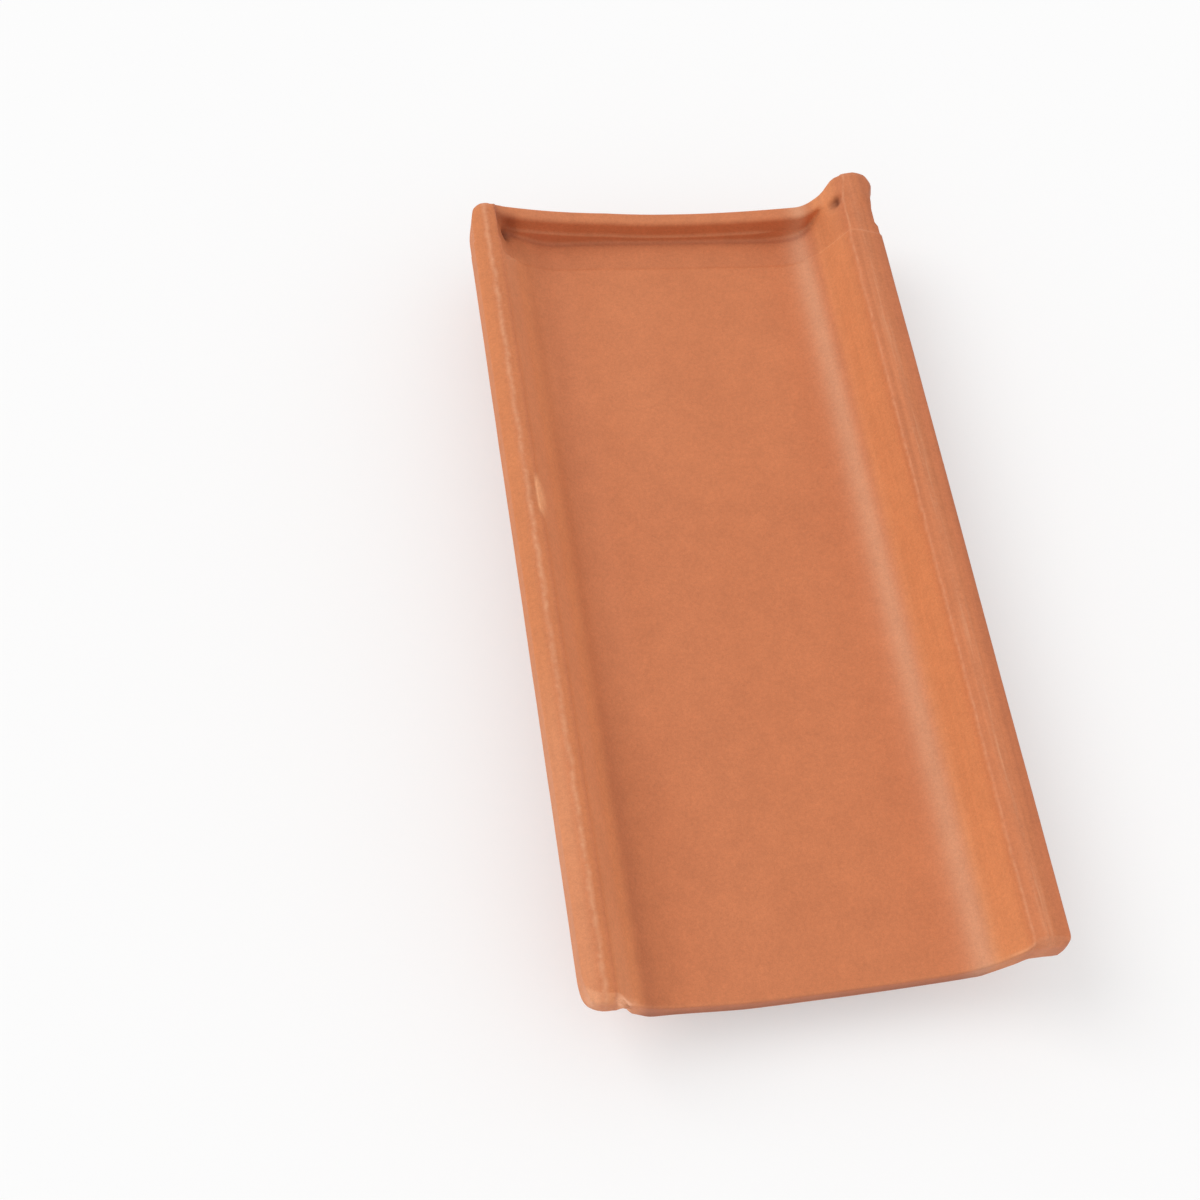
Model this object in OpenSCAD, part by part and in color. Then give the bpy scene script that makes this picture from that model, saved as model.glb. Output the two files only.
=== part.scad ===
// Fired clay pan tile for a monk and nun roof: a dished trough between two side ledges,
// with a raised lip across the head and four feet beneath.
// Millimetres, X across the tile, Y along it with the head at +Y, Z up, standing on its feet at Z = 0.

/* [Overall] */
// Length from the foot end to the head end
tile_length = 400; // [320:5:480]
// Width over the two ledges
tile_width = 205; // [185:1:250]

/* [Pan] */
// Clay thickness under the pan
pan_thickness = 13; // [10:0.5:16]
// Radius of the shallow dish across the pan
dish_radius = 550; // [400:10:1200]
// Clear height under the middle of the pan
pan_clearance = 15; // [10:0.5:22]

/* [Walls] */
// Rise of the ledge crest above the middle of the pan
wall_rise = 33.5; // [28:0.5:42]
// Lean of the trough side from upright
inner_lean = 28; // [20:1:34]
// Radius of the blend from the pan to the trough side
trough_blend = 30; // [18:1:34]
// Lean of the outer side under the ledge from upright
outer_lean = 38; // [30:1:42]
// Radius of the turn under the edge of the pan
heel_radius = 8; // [3:0.5:12]

/* [Ledges] */
// Width of the ledge top
ledge_width = 17; // [14:0.2:20]
// Height of the ledge from its underside to its crest
ledge_depth = 24; // [18:0.5:28]
// Overhang of the ledge beyond the outer side
ledge_overhang = 15.5; // [10:0.5:18]
// Distance of the crest from the outer edge
crest_inset = 11.2; // [6:0.2:12]
// Drop from the crest to the outer top edge
crest_drop = 2.2; // [0.6:0.1:4]
// Drop from the crest to the inner top edge
inner_drop = 0.6; // [0.2:0.1:1.5]
// Height of the parting line above the ledge's underside
parting_height = 9; // [5:0.5:12]
// Draft of the ledge's outer side above and below the parting line
ledge_draft = 1.2; // [0.4:0.1:2]
// Radius of the ledge's outer top edge
ledge_round = 2.4; // [1:0.1:3.5]
// Radius of the ledge's inner top edge
inner_round = 1.6; // [0.6:0.1:2.5]
// Radius between the ledge's underside and the outer side
root_round = 5; // [2:0.5:8]

/* [Ends] */
// Radius of the ledge corners seen from above
corner_round = 6; // [3:0.5:9]
// Radius of the ledge ends seen from the side
end_round = 5; // [2:0.5:7]

/* [Head] */
// Length of the head zone that the next tile covers
head_zone = 28; // [22:1:40]
// Set-in of the ledges' outer sides along the head zone
head_inset = 2.6; // [1.6:0.2:4]
// Length of the ledge ends at the head that keep their full width
ear_length = 14; // [11:0.5:18]
// Depth of the shallow band behind the lip
head_recess = 0.9; // [0.4:0.1:1.6]
// Width of the head lip along the tile
lip_width = 8; // [6:0.5:11]
// Set-back of the lip from the head end
lip_setback = 0.6; // [0.3:0.1:2]
// Height of the head lip above the pan
lip_height = 10.5; // [7:0.5:13]
// Radius of the sweep of the lip's top from side to side
lip_sweep = 280; // [240:10:600]
// Radius of the lip's two upper edges
lip_round = 2.6; // [1:0.1:3]

/* [Feet] */
// Length of a foot where it leaves the pan
foot_length = 43; // [32:1:50]
// Length of a foot at the floor
foot_tip_length = 24; // [16:1:30]
// Width of a foot where it leaves the pan
foot_width = 21; // [16:1:26]
// Width of a foot at the floor
foot_tip_width = 15; // [10:0.5:18]
// Distance of a foot from the nearest end of the tile
foot_end_gap = 12; // [8:1:40]
// Distance of a foot's outer side from the side of the tile
foot_side_gap = 33.5; // [30:0.5:42]
// Radius of the feet's lower edges
foot_round = 3; // [1:0.5:4]

/* [Hidden] */
$fn = 96;
clay = [0.78, 0.47, 0.33];
lap = 6;
skirt = 2;
tuck = 4;
flash = 1;
half_w = tile_width / 2;
half_l = tile_length / 2;
pan_z = pan_clearance + pan_thickness;
crest_z = pan_z + wall_rise;
shelf_z = crest_z - ledge_depth;
inner_x = half_w - ledge_width;
inner_z = crest_z - inner_drop;
root_x = half_w - ledge_draft - ledge_overhang;
inner_edge = [inner_x, inner_z];
root = [root_x, shelf_z];
foot_root_z = pan_clearance + lap;

function unit(v) = v / norm(v);

// Direction up a trough side that leans by a, and the direction from it into the trough
function up_side(a) = [sin(a), cos(a)];
function off_side(a) = [-cos(a), sin(a)];

// Centre of the arc of radius r that blends a dish into the side through p leaning by a;
// the dish has the radius dish and its lowest line is at the height mid
function blend_centre(dish, mid, p, a, r) =
    let (q = p + r * off_side(a) - [0, mid + dish])
    let (b = q * up_side(a))
    p + r * off_side(a) - up_side(a) * (b + sqrt(b * b - q * q + pow(dish - r, 2)));

// Stuff between a corner and a round of radius r, reaching past both edges by skirt;
// the round leaves each edge at the small angle tuck
module corner_piece(before, corner, after, r) {
    u = unit(before - corner);
    v = unit(after - corner);
    half = acos(u * v) / 2;
    reach = r * cos(tuck);
    centre = corner + unit(u + v) * reach / sin(half);
    at_u = corner + u * reach / tan(half);
    at_v = corner + v * reach / tan(half);
    out_u = unit(at_u - centre);
    out_v = unit(at_v - centre);
    difference() {
        polygon([
            corner + (out_u + out_v) * skirt / (1 + out_u * out_v),
            at_u + out_u * skirt,
            centre,
            at_v + out_v * skirt
        ]);
        translate(centre)
            circle(r);
    }
}

// Space inside a dished trough: dish arc, two blends of radius r, two leaning sides through p up to the height top
module trough(dish, mid, p, a, r, top) {
    low = p - up_side(a) * (p[1] - mid + lap) / cos(a);
    high = p + up_side(a) * (top - p[1]) / cos(a);
    more = r * (1 - cos(tuck));
    c = blend_centre(dish + more, mid - more, p - more * off_side(a), a, r);
    down = unit(c - [0, mid + dish]);
    difference() {
        intersection() {
            polygon([[-low[0], low[1]], low, high, [-high[0], high[1]]]);
            translate([0, mid + dish])
                circle(dish);
        }
        for (side = [0, 1])
            mirror([side, 0])
                difference() {
                    polygon([
                        c,
                        c + down * (r + skirt),
                        c + (down - off_side(a)) * (r + skirt) / (1 - down * off_side(a)),
                        c - off_side(a) * (r + skirt)
                    ]);
                    translate(c)
                        circle(r);
                }
    }
}

// Open space above the pan, widened all round by grow
module pan_space(grow = 0) {
    trough(dish_radius + grow, pan_z - grow, inner_edge - grow * off_side(inner_lean),
        inner_lean, trough_blend + grow, crest_z + lap);
}

// Draws a shape seen along the tile as a solid from y0 to y1
module along(y0, y1) {
    translate([0, y1, 0])
        rotate([90, 0, 0])
            linear_extrude(y1 - y0)
                children();
}

// One ledge seen end on, at the right-hand side
module ledge() {
    shelf = [half_w - ledge_draft, shelf_z];
    parting = [half_w, shelf_z + parting_height];
    brow = [half_w - ledge_draft, crest_z - crest_drop];
    crest = [half_w - crest_inset, crest_z];
    difference() {
        polygon([
            [inner_x - 2 * lap, shelf_z], shelf, parting, brow, crest, inner_edge,
            [inner_x - 2 * lap, inner_z]
        ]);
        corner_piece(root, shelf, parting, ledge_round / 2);
        corner_piece(parting, brow, crest, ledge_round);
    }
}

// Trough with its ledges, the same all along
module body() {
    difference() {
        union() {
            along(-half_l, half_l)
                trough(dish_radius + pan_thickness, pan_clearance, root, outer_lean, heel_radius, shelf_z + lap);
            for (side = [0, 1])
                mirror([side, 0, 0])
                    along(-half_l, half_l) {
                        ledge();
                        corner_piece([half_w, shelf_z], root, root - up_side(outer_lean), root_round);
                    }
        }
        along(-half_l - 1, half_l + 1)
            pan_space();
        for (side = [0, 1])
            mirror([side, 0, 0])
                along(-half_l - 1, half_l + 1)
                    corner_piece([half_w - crest_inset, crest_z], inner_edge,
                        inner_edge - up_side(inner_lean), inner_round);
    }
}

// Stuff beyond the ends of the ledges, which are rounded from above and from the side,
// and the set-in of their outer sides at the head, above the parting line
module end_cuts() {
    for (side = [0, 1])
        mirror([side, 0, 0]) {
            translate([0, 0, -1])
                linear_extrude(crest_z + 2) {
                    corner_piece([half_w, 0], [half_w, -half_l], [0, -half_l], corner_round);
                    corner_piece([half_w, 0], [half_w, half_l], [0, half_l], corner_round);
                }
            translate([half_w - head_inset, half_l - head_zone, shelf_z + parting_height + flash])
                cube([2 * head_inset, head_zone - ear_length, ledge_depth]);
        }
    rotate([90, 0, 90])
        translate([0, 0, -tile_width])
            linear_extrude(2 * tile_width)
                for (y = [-half_l, half_l])
                    corner_piece([y, 0], [y, crest_z], [0, crest_z], end_round);
}

// Lip seen in its own plane: X down from its top edge, Y along the tile
module lip_profile(depth) {
    y1 = half_l - lip_setback;
    y0 = y1 - lip_width;
    difference() {
        translate([0, y0])
            square([depth, lip_width]);
        corner_piece([depth, y0], [0, y0], [0, y1], lip_round);
        corner_piece([depth, y1], [0, y1], [0, y0], lip_round);
    }
}

// Lip across the head: one sweep from side to side, ending inside the clay of the walls
module lip() {
    turn = asin(inner_x / lip_sweep);
    intersection() {
        translate([0, 0, pan_z + lip_height + lip_sweep])
            rotate([-90, 0, 0])
                rotate([0, 0, 90 - turn])
                    rotate_extrude(angle = 2 * turn)
                        translate([lip_sweep, 0])
                            lip_profile(lip_height + pan_thickness / 2);
        along(half_l - 2 * lip_width, half_l + 1)
            trough(dish_radius + pan_thickness - 1, pan_clearance + 1, root + off_side(outer_lean),
                outer_lean, heel_radius, crest_z);
    }
}

// Trapezium seen from one side of a foot, with its lower corners rounded
module foot_side(base, tip) {
    a = [-base / 2, foot_root_z];
    b = [-tip / 2, 0];
    c = [tip / 2, 0];
    d = [base / 2, foot_root_z];
    difference() {
        polygon([a, b, c, d]);
        corner_piece(a, b, c, foot_round);
        corner_piece(b, c, d, foot_round);
    }
}

// One foot about its own middle, narrowing to the floor both ways
module foot() {
    intersection() {
        along(-foot_length, foot_length)
            foot_side(foot_width, foot_tip_width);
        rotate([90, 0, 90])
            translate([0, 0, -foot_width])
                linear_extrude(2 * foot_width)
                    foot_side(foot_length, foot_tip_length);
    }
}

// Two feet near the head and two near the foot end, under the edges of the pan
module feet() {
    x = half_w - foot_side_gap - foot_width / 2;
    y = half_l - foot_end_gap - foot_length / 2;
    for (i = [-1, 1])
        for (j = [-1, 1])
            translate([i * x, j * y, 0])
                foot();
}

module roof_tile() {
    color(clay)
        union() {
            difference() {
                body();
                along(half_l - head_zone, half_l + 1)
                    pan_space(head_recess);
                end_cuts();
            }
            lip();
            feet();
        }
}

roof_tile();
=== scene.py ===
"""Looks of a fired clay pan tile: surface with soft edges and press marks, clay, floor, light and camera."""
import math

import bmesh
import bpy
import numpy as np
from mathutils import Matrix, Vector


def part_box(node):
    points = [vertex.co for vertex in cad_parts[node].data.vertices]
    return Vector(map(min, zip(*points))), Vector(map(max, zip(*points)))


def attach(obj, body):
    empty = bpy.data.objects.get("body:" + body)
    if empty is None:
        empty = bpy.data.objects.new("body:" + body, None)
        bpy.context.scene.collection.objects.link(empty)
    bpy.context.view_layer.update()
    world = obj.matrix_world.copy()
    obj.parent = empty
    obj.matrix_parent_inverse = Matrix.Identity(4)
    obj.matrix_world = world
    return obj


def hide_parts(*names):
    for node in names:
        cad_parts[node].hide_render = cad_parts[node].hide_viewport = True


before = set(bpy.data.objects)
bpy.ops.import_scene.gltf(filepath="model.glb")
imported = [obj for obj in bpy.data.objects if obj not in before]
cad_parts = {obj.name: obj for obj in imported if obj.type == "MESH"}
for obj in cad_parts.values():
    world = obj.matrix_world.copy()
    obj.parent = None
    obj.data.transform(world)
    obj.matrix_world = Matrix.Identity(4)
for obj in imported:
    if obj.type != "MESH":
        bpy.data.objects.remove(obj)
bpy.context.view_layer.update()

MM = 0.001

# Tile in millimetres, in the frame of the part: X across, Y along it with the head at +Y, Z up.
# A zone of two numbers is a rise from 0 to 1, and one of four numbers is a rise and a fall.
HALF_W, HALF_L, CREST_Z = np.array(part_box("roof_tile")[1]) / MM
WALL_RISE = 33.5
PAN_THICKNESS = 13.0
PAN_Z = CREST_Z - WALL_RISE
UNDER_Z = PAN_Z - PAN_THICKNESS
DISH_RADIUS = 550.0
BLEND_RADIUS = 30.0
INNER_LEAN = 28.0
OUTER_LEAN = 38.0
HEEL_RADIUS = 8.0

# Ledges: widths and drops from the crest, which is the top of the tile; pairs are for the left and the right
LEDGE_WIDTH = (16.5, 17.0)
LEDGE_DEPTH = 24.0
LEDGE_OVERHANG = 15.5
LEDGE_DRAFT = 1.2
LEDGE_START = HALF_W - max(LEDGE_WIDTH)
LEDGE_ZONE = (LEDGE_START - 4, LEDGE_START + 1)
BROW_INSET = (1.0, 2.4)
BROW_DROP = 2.2
BROW_ROUND = 2.4
CREST_INSET = 11.2
CREST_ROUND = 2.5
INNER_DROP = 0.6
INNER_ROUND = (1.2, 2.0)
PARTING_HEIGHT = 9.0
PARTING_Z = CREST_Z - LEDGE_DEPTH + PARTING_HEIGHT
PARTING_BLEND = (-2, 2)
SHELF_ROUND = 1.2
ROOT_ROUND = 5.0

# Sideways shifts: of the upper face against the underside, left from the press, and of the left outer side
PRESS_SHIFT = -1.8
PRESS_FADE = (HALF_W - 10, HALF_W - 2)
KNOB_FLARE = 2.0
KNOB_RAMP = (-2, 4)
KNOB_ZONE = (80, 92)
LEFT_SIDE_SHIFT = 0.8
LEFT_SIDE_ZONE = (-93, -101)

# Ends: radii of the plan corners at the head and at the foot, chamfers of the ledge ends, and other edges
LEFT_CORNERS = (14.0, 13.5)
RIGHT_CORNERS = (9.0, 7.0)
CORNER_CLEARANCE = 1.5
CORNER_FADE = (10, 26)
SIDE_CLEARANCE = 8.0
LEDGE_CHAMFER = 3.4
PAN_CHAMFER = 0.9
RIGHT_CHAMFER_LOSS = 0.6
RIGHT_CHAMFER_FADE = (95, 100)
EDGE_SOFTNESS = 0.8
LEDGE_UNDERCUT = 0.6
UNDERCUT_ZONE = (-79.5, -85)
LEFT_FOOT_SHORT = 1.3
FOOT_SHORT_ZONE = (-84, -79, -65, -25)
HEAD_LEDGE_ROUND = 5.5
HEAD_PAN_ROUND = 1.6
LEFT_ROUND_ZONE = (-86, -91)

# Head end: its slant and bow, and the left ledge, which ends short of it and leans back above the lip
HEAD_SETBACK = 2.3
HEAD_SLANT = 0.065
HEAD_BOW = 0.0007
LEAST_SETBACK = 0.3
RIGHT_END_ZONE = (64, 89)
LEFT_LEDGE_SHORT = 1.8
LEFT_END_ZONE = (-84, -90)
LEFT_END_LEAN = 0.6
LEAN_START = 2.0
LEAN_ZONE = (-80, -86)
LEAN_LOSS = 0.4
LEAN_LOSS_ZONE = (-88, -97)

# Band: a shallow recess at the head that the next tile covers, deeper on the right wall, side and left wall
BAND_LENGTH = 25.4
BAND_RAMP = 2.0
BAND_RECESS = 0.6
BAND_WALL_RECESS = 0.9
BAND_WALL_SHORT = 2.2
BAND_SHORT_ZONE = (55, 80)
BAND_WALL_ZONE = (66, 78)
BAND_SIDE_RECESS = 1.8
BAND_SIDE_MORE = 7.0
BAND_SIDE_ZONE = (HALF_W - 7, HALF_W - 2)
LEFT_WALL_RECESS = 3.0
LEFT_WALL_MORE = 7.0
LEFT_MORE_HEIGHTS = (42, 58)
LEFT_WALL_ZONE = (-92, -89.5, -74, -68)
LEFT_WALL_HEIGHTS = (34, 42, 52, 60.5)

# Lip at the head end, with a small shelf at its foot; both end inside the left wall
LIP_WIDTH = 7.2
LIP_SPREAD = 4.0
LIP_SPREAD_ZONE = (74, 86)
LIP_HEIGHT = 10.5
LIP_SWEEP = 270.0
LIP_DRAFT = 6.0
LIP_ROUND = 2.2
LIP_FILLET = 1.4
RIGHT_LIP_FILLET = 4.0
RIGHT_FILLET_ZONE = (78, 86)
LEFT_LIP_FILLET = 2.6
LEFT_FILLET_ZONE = (-78, -84)
LEFT_LIP_END = -93.0
SHELF_REACH = 1.0
SHELF_DROP = 8.2
SHELF_FILLET = 1.6
SHELF_SINK = 3.0
SHELF_SINK_ZONE = (45, 64)

# Feet: frustums under the edges of the pan
FOOT_BASE = (21.0, 43.0)
FOOT_TIP = (15.0, 24.0)
FOOT_ROOT_Z = 21.0
FOOT_TOP_Z = 24.0
FOOT_END_GAP = 12.0
FOOT_SIDE_GAP = 33.5
FOOT_ROUND = 3.0
FOOT_FILLET = 5.0
FOOT_X = HALF_W - FOOT_SIDE_GAP - FOOT_BASE[0] / 2
FOOT_Y = HALF_L - FOOT_END_GAP - FOOT_BASE[1] / 2

# Relief: depths and breadths of swells, lumps and crest wear, a chip, two pits beside the lip, and where
# the surface counts as upper, above the underside, or streaked, by its facing and its place
SWELLS = (0.25, 70)
LUMPS = (0.10, 16)
CREST_WEAR = (0.30, 5)
CREST_WIDTH = 1.6
RIGHT_WEAR = 0.5
LEFT_CREST = -93.0
RIGHT_CREST = 89.8
RIGHT_INNER = 83.6
CHIP = np.array([-87.3, 30.0, 60.0])
CHIP_SIZE = np.array([2.2, 10.0, 5.0])
CHIP_DEPTH = 0.9
CHIP_EDGE = (0.18, 0.6)
CHIP_SHADE = CHIP + np.array([-3.4, 2.0, 0.5])
CHIP_SHADE_SIZE = CHIP_SIZE * 0.7
PITS = (np.array([-82.6, 187.0, 44.0]), np.array([81.9, 183.7, 55.0]))
PIT_SIZE = np.array([2.6, 2.6, 3.2])
PIT_DEPTH = 2.4
PIT_SHADE = 1.4
UPPER_FACING = (-0.2, 0.3)
UPPER_LOW = PAN_Z - 4
ABOVE_FACING = (-0.4, -0.1)
ABOVE_HEIGHTS = (UNDER_Z + 1, UNDER_Z + 3)
STREAKS = ((0.35, (58, 70)), (0.45, (83, 86)), (0.3, (-90, -96)))

# Clay: the two clays that mix in it, the clay of rubbed edges and painted highlights, the tone of the chip,
# and where tones and painted light and shade change
DARK_CLAY = (0.582, 0.184, 0.072)
PALE_CLAY = (0.610, 0.196, 0.077)
WORN_AND_LIT_CLAY = (0.80, 0.38, 0.205)
CHIP_TONE = np.array([1.58, 2.30, 2.90])
FOOT_PART = (-20, -110)
HEAD_PART = (20, 110)
SHEEN_X = 67.4
SHEEN_DRIFT = 1.8
SHEEN_WIDTHS = (5.5, 3.6)
TROUGH = (-88.5, -87, 82.5, 84)
LEFT_WALL = (-88.4, -87.2, -79, -72)
LEFT_WALL_TOP = (-87.5, -85.5, -82, -78)
LEFT_LIP = (-88.5, -87, -80, -74)
LEFT_LEDGE_INNER = (-92.6, -91.6, -90, -89)
LEFT_LEDGE_EDGE = -88.0
LEFT_LEDGE_OUTER = (-93, -96)
LEFT_BLEND = -72.0
LEFT_PAN = (-74, -68, -60, -46)
MIDDLE_PAN = (-66, -50, 36, 52)
LEFT_OF_MIDDLE = -32.0
RIGHT_WALL = (70, 74, 80.5, 84.5)
RIGHT_LEDGE_OUTER = (92, 98)
PAN_EDGE = 84.0
LEDGE_EDGE = 76.0
LEDGE_END_Z = 48.0
STEP_ZONE = (62, 72, 96, 99)
LIP_CLEARANCE = (-20, -8)
STRIP_ZONE = (-89, -87.5, -79, -76.5)
STRIP_START = -87.5
STRIP_WIDTH = 13.0
STRIP_TOPS = (2.2, 5.5)
STRIP_LOWS = (-1.0, 2.7)
STRIP_LOW_ZONE = (-85, -76)
STRIP_EDGE = 0.5

# Pale lines on the clay, partly rubbed wear and partly painted highlights: half widths, how far they wander
# and drift sideways, and where they turn or end
LEFT_LINE_WIDTH = 1.8
LEFT_LINE_WANDER = 0.9
LEFT_LINE_DRIFT = (-0.8, 0.5)
INNER_LINE_WIDTH = 0.8
INNER_LINE_TURNS = ((158, 165, -1.2), (182, 200, -3.5))
RIGHT_LINE_WANDER = 0.5
DASH_WIDTH = 3.4
DASH_END = (145, 165)

# Mesh: points across half of the top or of the underside, rows across an end face and over the lip,
# where rows follow the head's slant, where they climb the lip, and where points are evened out
HALF_COLUMNS = 72
END_ROWS = 9
LIP_REACH = 13.0
LIP_ROWS = 50
FOLLOW_ZONE = (40, 150)
CLIMB_LIMIT = 91.0
EVEN_LOW = np.array([-97, 190, 36])
EVEN_HIGH = np.array([-70, np.inf, np.inf])
EVEN_ROUNDS = 80

# Stage: reach of the floor in metres, the share of plain white that the camera sees in it, sun and sky,
# and a camera with its focal length in pixels and its shift in millimetres
FLOOR_REACH = 6.0
FLOOR_GREY = 0.95
FLOOR_LIFT = 0.35
SUN_STRENGTH = 0.9
SUN_ANGLE = 35.0
SUN_FROM = (-0.78, 0.445, 1)
WORLD_STRENGTH = 0.8
IMAGE_SIZE = 1200
SENSOR_WIDTH = 36
CAMERA_FOCAL = 1800.0
CAMERA_TURN = (-0.4574, -0.1146, -0.128)
CAMERA_SHIFT = (61.64, -14.66, 831.5)


def smooth(low, high, value):
    """Rises smoothly from 0 at low to 1 at high."""
    t = np.clip((value - low) / (high - low), 0, 1)
    return t * t * (3 - 2 * t)


def between(zone, value):
    """Rises smoothly from 0 to 1 over the first two places of a zone and falls back over the last two."""
    return smooth(zone[0], zone[1], value) * smooth(zone[3], zone[2], value)


def bump(value, middle, width):
    """A smooth hill of height 1."""
    return np.exp(-((value - middle) / width) ** 2)


def spot(points, middle, size):
    """A smooth round hill of height 1 about a point."""
    return np.exp(-np.sum(((points - middle) / size) ** 2, axis=1))


def soft_min(a, b, reach):
    """Lesser of two distances, blended where they differ by less than reach."""
    blend = np.maximum(reach - np.abs(a - b), 0) / reach
    return np.minimum(a, b) - blend * blend * reach / 4


def soft_max(a, b, reach):
    """Greater of two distances, blended where they differ by less than reach."""
    return -soft_min(-a, -b, reach)


def round_max(a, b, radius):
    """Distance to what lies inside both a and b, with their edge rounded to a true radius."""
    outside = np.hypot(np.maximum(a + radius, 0), np.maximum(b + radius, 0))
    return np.minimum(np.maximum(a, b), -radius) + outside


def cloud(points, cell, seed):
    """Smooth random field from 0 to 1 with lumps about cell millimetres across."""
    size = 32
    lattice = np.random.default_rng(seed).random((size, size, size))
    at = points / cell
    base = np.floor(at).astype(int)
    t = at - base
    t = t * t * (3 - 2 * t)
    field = np.zeros(len(points))
    for corner in np.ndindex(2, 2, 2):
        weight = np.prod(np.where(corner, t, 1 - t), axis=1)
        field += weight * lattice[tuple(((base + corner) % size).T)]
    return field


def up_side(lean):
    """Direction up a right-hand side that leans outwards by lean degrees."""
    return np.array([math.sin(math.radians(lean)), math.cos(math.radians(lean))])


def off_side(lean):
    """Direction from such a side into the trough."""
    return np.array([-math.cos(math.radians(lean)), math.sin(math.radians(lean))])


def arc(centre, radius, start, end):
    """Points along an arc between two directions in degrees."""
    longest = 1.0
    widest = 6.0
    sweep = abs(end - start)
    steps = max(2, math.ceil(math.radians(sweep) * radius / longest), math.ceil(sweep / widest))
    turn = np.radians(np.linspace(start, end, steps + 1))
    return centre + radius * np.stack([np.cos(turn), np.sin(turn)], axis=1)


def trough(dish, low, point, lean, blend):
    """From the middle of a dished trough out to where its blend meets the side through point."""
    middle = np.array([0, low + dish])
    start = point + blend * off_side(lean)
    run = (start - middle) @ up_side(lean)
    reach = run * run - (start - middle) @ (start - middle) + (dish - blend) ** 2
    centre = start - up_side(lean) * (run + math.sqrt(reach))
    turn = math.degrees(math.atan2(*(centre - middle)[::-1]))
    return np.concatenate([arc(middle, dish, -90, turn), arc(centre, blend, turn, -lean)[1:]])


def rounded(corners, radii):
    """Line through corners, each turned by an arc of its radius."""
    line = [corners[0]]
    for before, corner, after, radius in zip(corners, corners[1:], corners[2:], radii):
        u = (before - corner) / np.linalg.norm(before - corner)
        v = (after - corner) / np.linalg.norm(after - corner)
        half = math.acos(np.clip(u @ v, -1, 1)) / 2
        centre = corner + (u + v) / np.linalg.norm(u + v) * radius / math.sin(half)
        first = corner + u * radius / math.tan(half) - centre
        last = corner + v * radius / math.tan(half) - centre
        start = math.degrees(math.atan2(first[1], first[0]))
        sweep = math.degrees(math.atan2(first[0] * last[1] - first[1] * last[0], first @ last))
        line.extend(arc(centre, radius, start, start + sweep))
    line.append(corners[-1])
    return np.array(line)


def half_section(side):
    """Right-hand halves of the top and of the underside, from the middle to the ledge's parting line;
    side picks the sizes of the left ledge (0) or the right one (1)."""
    shelf_z = CREST_Z - LEDGE_DEPTH
    parting = np.array([HALF_W, shelf_z + PARTING_HEIGHT])
    brow = np.array([HALF_W - BROW_INSET[side], CREST_Z - BROW_DROP])
    crest = np.array([HALF_W - CREST_INSET, CREST_Z])
    inner = np.array([HALF_W - LEDGE_WIDTH[side], CREST_Z - INNER_DROP])
    top = trough(DISH_RADIUS, PAN_Z, inner, INNER_LEAN, BLEND_RADIUS)
    over = rounded([top[-1], inner, crest, brow, parting], [INNER_ROUND[side], CREST_ROUND, BROW_ROUND])
    shelf = np.array([HALF_W - LEDGE_DRAFT, shelf_z])
    root = shelf - np.array([LEDGE_OVERHANG, 0])
    under = trough(DISH_RADIUS + PAN_THICKNESS, UNDER_Z, root, OUTER_LEAN, HEEL_RADIUS)
    below = rounded([under[-1], root, shelf, parting], [ROOT_ROUND, SHELF_ROUND])
    return np.concatenate([top, over[1:]]), np.concatenate([under, below[1:]])


class Field:
    """Signed distance to a closed outline, the same on both sides, kept on a grid of its right half."""

    pitch = 0.4
    margin = 4.0

    def __init__(self, outline):
        x = np.arange(-self.margin, HALF_W + self.margin, self.pitch)
        z = np.arange(-self.margin, CREST_Z + self.margin, self.pitch)
        self.low = np.array([x[0], z[0]])
        grid = np.stack(np.meshgrid(x, z, indexing="ij"), axis=-1).reshape(-1, 2)
        mirrored = outline[::-1] * np.array([-1, 1])
        ring = np.concatenate([outline, mirrored])
        ends = np.roll(ring, -1, axis=0)
        nearest = np.full(len(grid), np.inf)
        inside = np.zeros(len(grid), bool)
        for a, b in zip(ring, ends):
            run = b - a
            if run @ run < 1e-12:
                continue
            t = np.clip((grid - a) @ run / (run @ run), 0, 1)
            gap = grid - a - t[:, None] * run
            nearest = np.minimum(nearest, np.einsum("ij,ij->i", gap, gap))
            spans = (a[1] > grid[:, 1]) != (b[1] > grid[:, 1])
            if spans.any():
                cross = a[0] + (grid[:, 1] - a[1]) * run[0] / (run[1] if run[1] else 1)
                inside ^= spans & (grid[:, 0] < cross)
        self.values = np.where(inside, -1, 1) * np.sqrt(nearest)
        self.values = self.values.reshape(len(x), len(z))

    def __call__(self, x, z):
        at = (np.stack([np.abs(x), z], axis=1) - self.low) / self.pitch
        base = np.clip(np.floor(at).astype(int), 0, np.array(self.values.shape) - 2)
        t = at - base
        i, j = base.T
        low = self.values[i, j] * (1 - t[:, 0]) + self.values[i + 1, j] * t[:, 0]
        high = self.values[i, j + 1] * (1 - t[:, 0]) + self.values[i + 1, j + 1] * t[:, 0]
        return low * (1 - t[:, 1]) + high * t[:, 1]


def head_shift(x):
    """How far the head's cross lines lie short of the head end: they slant, and bow on the right."""
    slant = HEAD_SLANT * x + HEAD_BOW * np.maximum(x, 0) ** 2
    return HEAD_SETBACK + np.maximum(slant, LEAST_SETBACK - HEAD_SETBACK)


def head_end(x):
    """Place along the tile of the head end, which reaches further at the right ledge than at the left one."""
    short = head_shift(x) * (1 - smooth(*RIGHT_END_ZONE, x))
    return HALF_L - short - LEFT_LEDGE_SHORT * smooth(*LEFT_END_ZONE, x)


def lip_top(x):
    """Height of the lip's top edge across the tile."""
    return PAN_Z + LIP_HEIGHT + x * x / (2 * LIP_SWEEP)


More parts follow.
